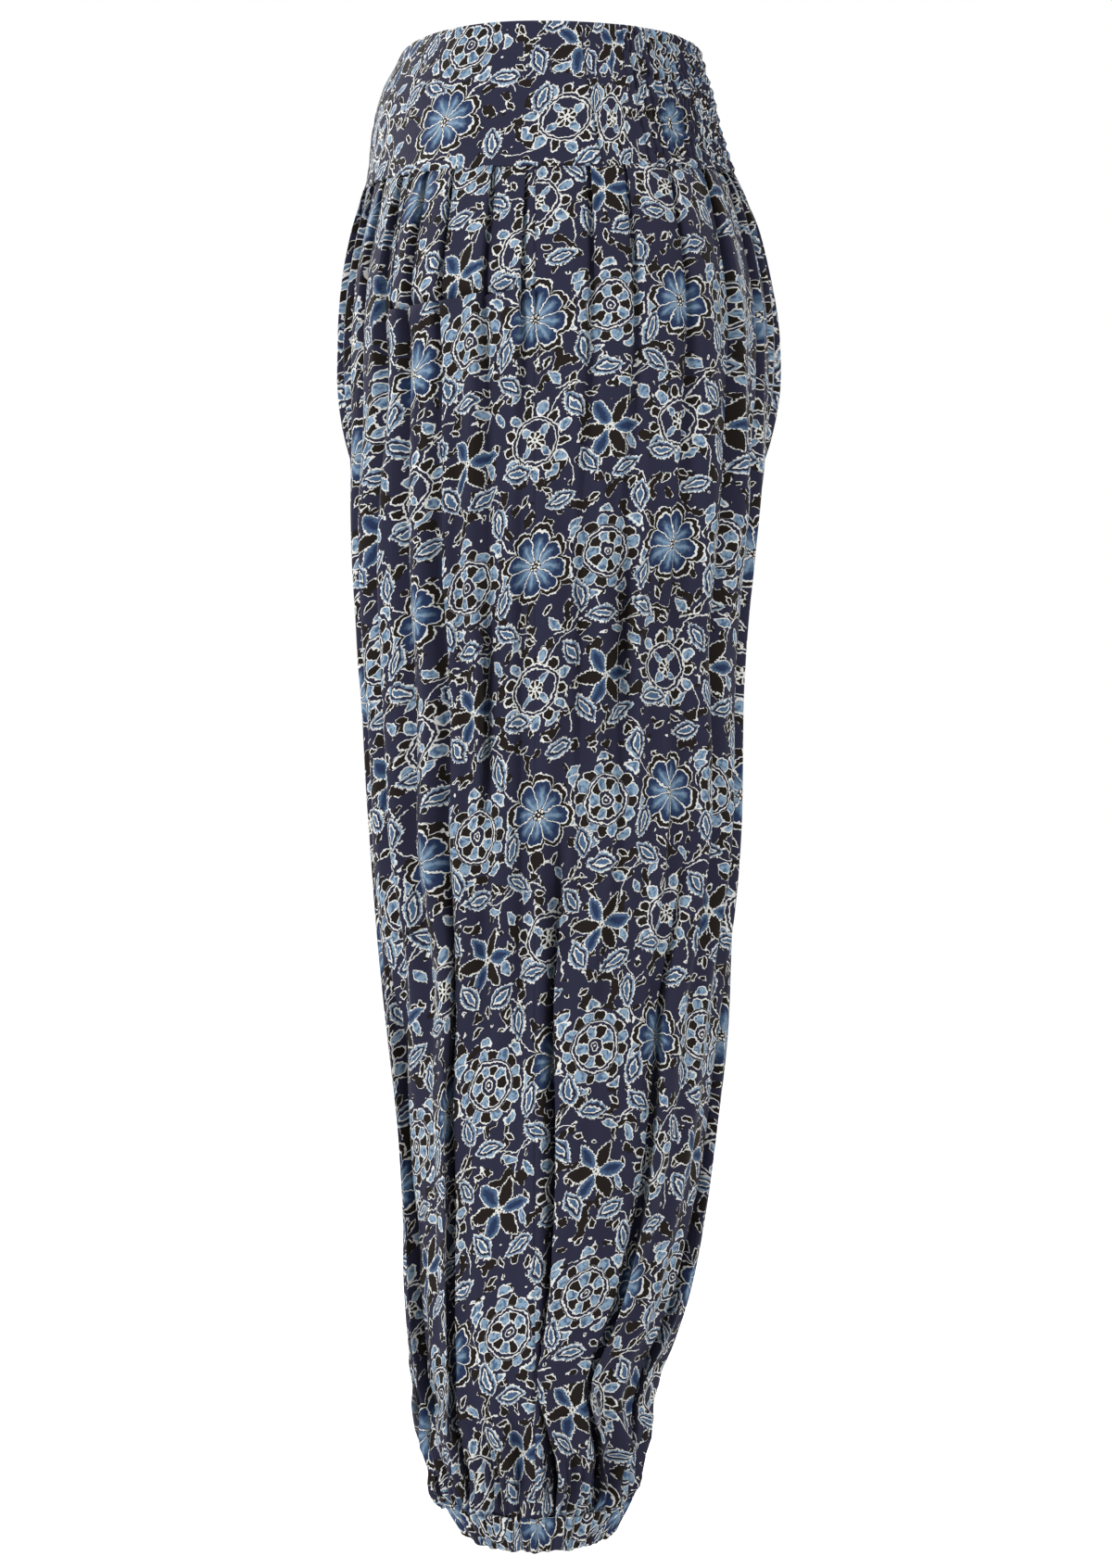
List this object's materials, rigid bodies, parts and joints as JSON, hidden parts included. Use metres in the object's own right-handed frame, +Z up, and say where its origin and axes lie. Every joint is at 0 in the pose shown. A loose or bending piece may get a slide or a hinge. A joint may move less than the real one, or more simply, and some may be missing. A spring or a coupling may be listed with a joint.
{
  "type": "harem trousers",
  "caption": "Harem trousers in printed cotton: flat-fronted waistband with a shirred back, pleated balloon legs, side pockets and elastic ankle casings, hollow as worn.",
  "frame": {"origin": "middle of the waist opening, level with the waistband's top edge at the sides", "axes": "+Z up out of the waist opening, -Y towards the front, +X towards the wearer's left"},
  "size_m": [0.4198, 0.2959, 0.982],
  "materials": {
    "waistband_cotton": "matt printed cotton poplin, floral in navy, blues, brown and cream",
    "leg_cotton": "matt printed cotton poplin, floral in navy, blues, brown and cream",
    "pocket_cotton": "matt printed cotton poplin, floral in navy, blues, brown and cream",
    "casing_cotton": "matt printed cotton poplin, gathered over elastic"
  },
  "bodies": {
    "root": {"waistband_front": "waistband_cotton", "waistband_back": "waistband_cotton", "leg_front_left": "leg_cotton", "leg_front_right": "leg_cotton", "leg_back_left": "leg_cotton", "leg_back_right": "leg_cotton", "pocket_left": "pocket_cotton", "pocket_right": "pocket_cotton", "cuff_left": "casing_cotton", "cuff_right": "casing_cotton"}
  },
  "joints": []
}
